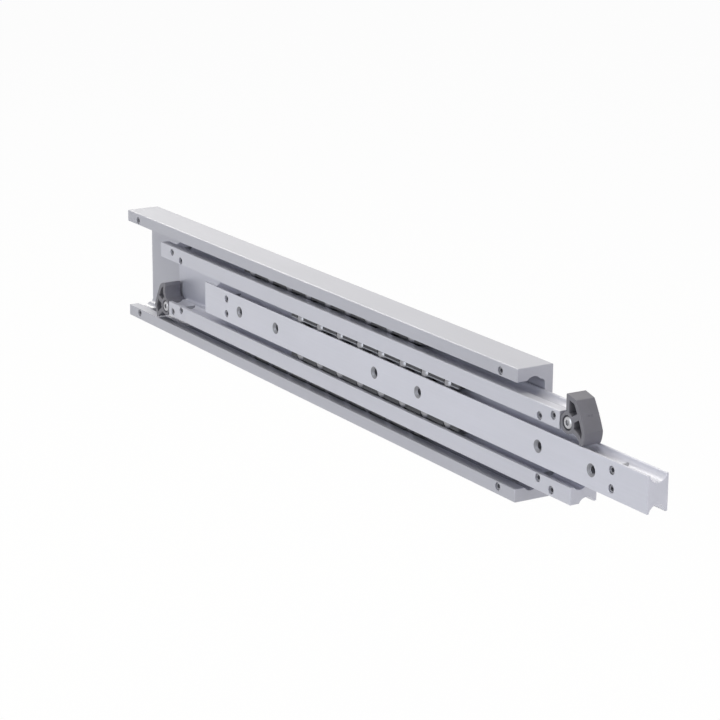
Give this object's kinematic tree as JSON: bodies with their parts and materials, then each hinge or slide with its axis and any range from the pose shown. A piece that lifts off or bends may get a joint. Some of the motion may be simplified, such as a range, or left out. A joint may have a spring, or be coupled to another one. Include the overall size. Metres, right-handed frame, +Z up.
{
  "type": "telescopic slide",
  "caption": "Two-way telescopic slide: a bar and a C rail run on caged balls in a wider C rail, and two rockers set the order of travel.",
  "frame": {"origin": "centre of the outer rail's back face, the face that lies against the mounting surface", "axes": "+X along the rails towards the end that is drawn out, +Y into the mounting surface, +Z up"},
  "size_m": [0.621, 0.025, 0.08],
  "materials": {
    "rail_steel": "drawn, ground and zinc-plated steel, satin, pale grey",
    "screw_steel": "bright zinc-plated steel",
    "ball_steel": "polished bearing steel",
    "bush_steel": "turned steel, satin",
    "cage_plastic": "moulded black polyamide, satin",
    "rocker_plastic": "moulded dark grey polyamide, fine matt texture"
  },
  "bodies": {
    "outer": {"outer_rail": "rail_steel", "outer_stop_screws": "screw_steel"},
    "middle": {"middle_rail": "rail_steel", "middle_outer_stop_screws": "screw_steel", "middle_inner_stop_screws": "screw_steel", "rocker_bush_right": "bush_steel", "rocker_bush_left": "bush_steel", "rocker_screw_right": "screw_steel", "rocker_screw_left": "screw_steel"},
    "inner": {"inner_rail": "rail_steel", "inner_stop_screws": "screw_steel"},
    "outer_top_row": {"outer_cage_top": "cage_plastic", "outer_balls_top": "ball_steel"},
    "outer_bottom_row": {"outer_cage_bottom": "cage_plastic", "outer_balls_bottom": "ball_steel"},
    "inner_top_row": {"inner_cage_top": "cage_plastic", "inner_balls_top": "ball_steel"},
    "inner_bottom_row": {"inner_cage_bottom": "cage_plastic", "inner_balls_bottom": "ball_steel"},
    "rocker_right": {"rocker_right": "rocker_plastic"},
    "rocker_left": {"rocker_left": "rocker_plastic"}
  },
  "joints": [
    {"name": "middle_slide", "type": "slide", "parent": "outer", "child": "middle", "axis": [1, 0, 0], "range_m": [-0.043, 0.197]},
    {"name": "inner_slide", "type": "slide", "parent": "middle", "child": "inner", "axis": [1, 0, 0], "range_m": [-0.058, 0.182]},
    {"name": "outer_top_row_slide", "type": "slide", "parent": "outer", "child": "outer_top_row", "axis": [1, 0, 0], "range_m": [-0.0215, 0.0985]},
    {"name": "outer_bottom_row_slide", "type": "slide", "parent": "outer", "child": "outer_bottom_row", "axis": [1, 0, 0], "range_m": [-0.0215, 0.0985]},
    {"name": "inner_top_row_slide", "type": "slide", "parent": "middle", "child": "inner_top_row", "axis": [1, 0, 0], "range_m": [-0.029, 0.091]},
    {"name": "inner_bottom_row_slide", "type": "slide", "parent": "middle", "child": "inner_bottom_row", "axis": [1, 0, 0], "range_m": [-0.029, 0.091]},
    {"name": "rocker_right_pivot", "type": "hinge", "parent": "middle", "child": "rocker_right", "pos_m": [0.2976, -0.0177, 0.02075], "axis": [0, -1, 0], "range_deg": [0, 6]},
    {"name": "rocker_left_pivot", "type": "hinge", "parent": "middle", "child": "rocker_left", "pos_m": [-0.1916, -0.0177, -0.02075], "axis": [0, 1, 0], "range_deg": [0, 6]}
  ],
  "couplings": [
    {"joint": "outer_top_row_slide", "follows": "middle_slide", "ratio": 0.5},
    {"joint": "outer_bottom_row_slide", "follows": "middle_slide", "ratio": 0.5},
    {"joint": "inner_top_row_slide", "follows": "inner_slide", "ratio": 0.5},
    {"joint": "inner_bottom_row_slide", "follows": "inner_slide", "ratio": 0.5}
  ]
}
